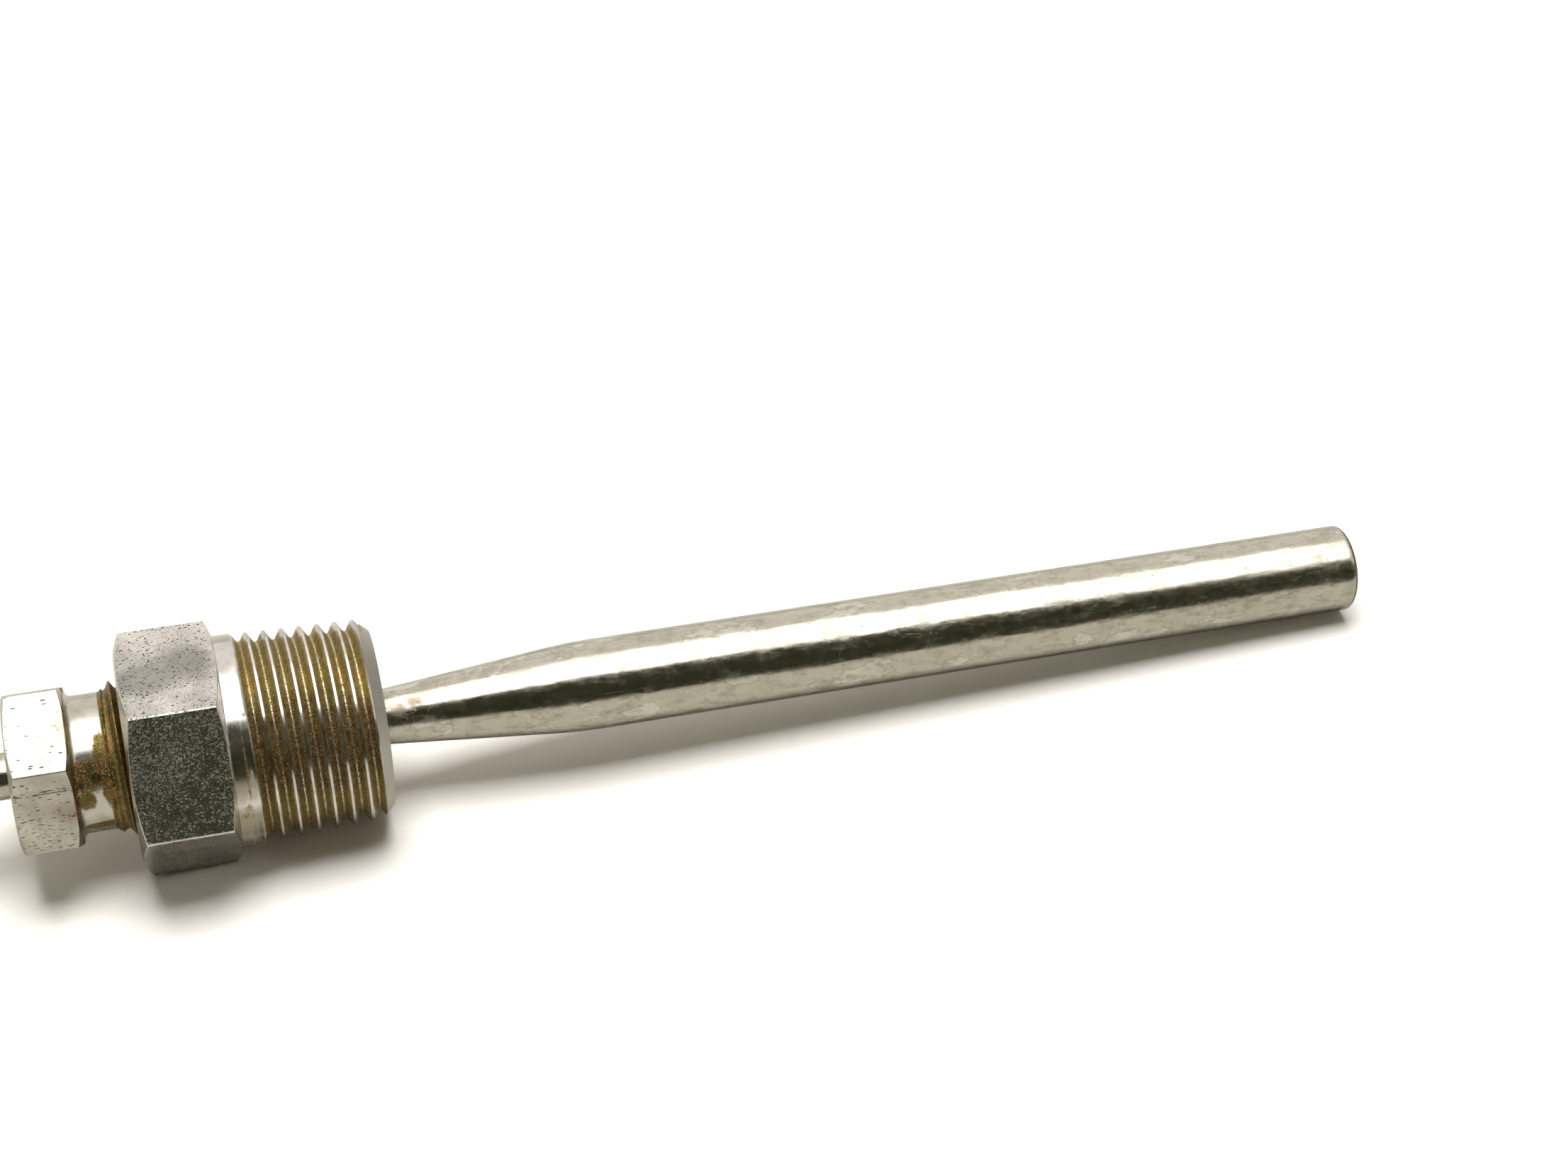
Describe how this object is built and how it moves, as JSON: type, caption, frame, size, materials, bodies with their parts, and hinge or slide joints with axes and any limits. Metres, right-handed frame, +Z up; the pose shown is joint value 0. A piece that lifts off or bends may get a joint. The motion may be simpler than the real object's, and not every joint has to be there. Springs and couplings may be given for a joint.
{
  "type": "thermocouple probe",
  "caption": "Sheathed thermocouple: thick closed tube on a thin stem, adjustable packing gland with tapered pipe thread, two-pin connector.",
  "frame": {"origin": "on the probe's axis, in the shoulder plane under the big hexagon, where the pipe thread begins", "axes": "+X along the axis to the measuring tip, +Z up, square to two flats of the big hexagon"},
  "size_m": [0.2293, 0.0256, 0.0222],
  "materials": {
    "fitting_steel": "satin stainless with fine pitting, rust in the thread",
    "gland_steel": "bright stainless, stained neck",
    "tube_steel": "drawn and polished stainless, stained and finely scratched",
    "inner_steel": "turned steel",
    "packing": "soft sealing ring",
    "insulation": "packed oxide insulation",
    "seal": "potting compound",
    "positive_alloy": "drawn alloy wire and pin",
    "negative_alloy": "drawn alloy wire and pin",
    "plated_brass": "turned brass",
    "screw_steel": "zinc plated steel",
    "housing": "moulded plastic, fine spark texture"
  },
  "bodies": {
    "fitting": {"process_fitting": "fitting_steel", "packing_seat": "inner_steel"},
    "packing": {"packing_rings": "packing"},
    "probe": {"sheath_tube": "tube_steel", "tip_plug": "tube_steel", "stem_insulation": "insulation", "bead_insulators": "insulation", "tip_fill": "insulation", "measuring_junction": "positive_alloy", "positive_conductor": "positive_alloy", "negative_conductor": "negative_alloy", "end_seal": "seal", "stem_adapter": "plated_brass", "adapter_set_screw": "screw_steel", "connector_base": "housing", "positive_pin": "positive_alloy", "negative_pin": "negative_alloy", "terminal_screws": "screw_steel", "clamp_washers": "screw_steel", "screw_inserts": "plated_brass"},
    "follower": {"packing_follower": "inner_steel"},
    "gland_nut": {"gland_nut": "gland_steel"},
    "cover": {"connector_cover": "housing"},
    "cover_screw_rear": {"cover_screw_rear": "screw_steel"},
    "cover_screw_front": {"cover_screw_front": "screw_steel"}
  },
  "joints": [
    {"name": "probe_turn", "type": "hinge", "parent": "fitting", "child": "packing", "pos_m": [0, 0, 0], "axis": [1, 0, 0], "continuous": true},
    {"name": "insertion_slide", "type": "slide", "parent": "packing", "child": "probe", "axis": [1, 0, 0], "range_m": [0, 0.0254]},
    {"name": "gland_travel", "type": "slide", "parent": "fitting", "child": "follower", "axis": [-1, 0, 0], "range_m": [0, 0.00423]},
    {"name": "gland_turn", "type": "hinge", "parent": "follower", "child": "gland_nut", "pos_m": [-0.01, 0, 0], "axis": [-1, 0, 0], "range_deg": [0, 1080]},
    {"name": "cover_lift", "type": "slide", "parent": "probe", "child": "cover", "axis": [0, 0, 1], "range_m": [0, 0.012]},
    {"name": "cover_screw_rear_turn", "type": "hinge", "parent": "cover", "child": "cover_screw_rear", "pos_m": [-0.07563, 0, 0], "axis": [0, 0, 1], "continuous": true},
    {"name": "cover_screw_front_turn", "type": "hinge", "parent": "cover", "child": "cover_screw_front", "pos_m": [-0.08463, 0, 0], "axis": [0, 0, 1], "continuous": true}
  ],
  "couplings": [
    {"joint": "gland_turn", "follows": "gland_travel", "rad_per_m": 4452.7}
  ]
}
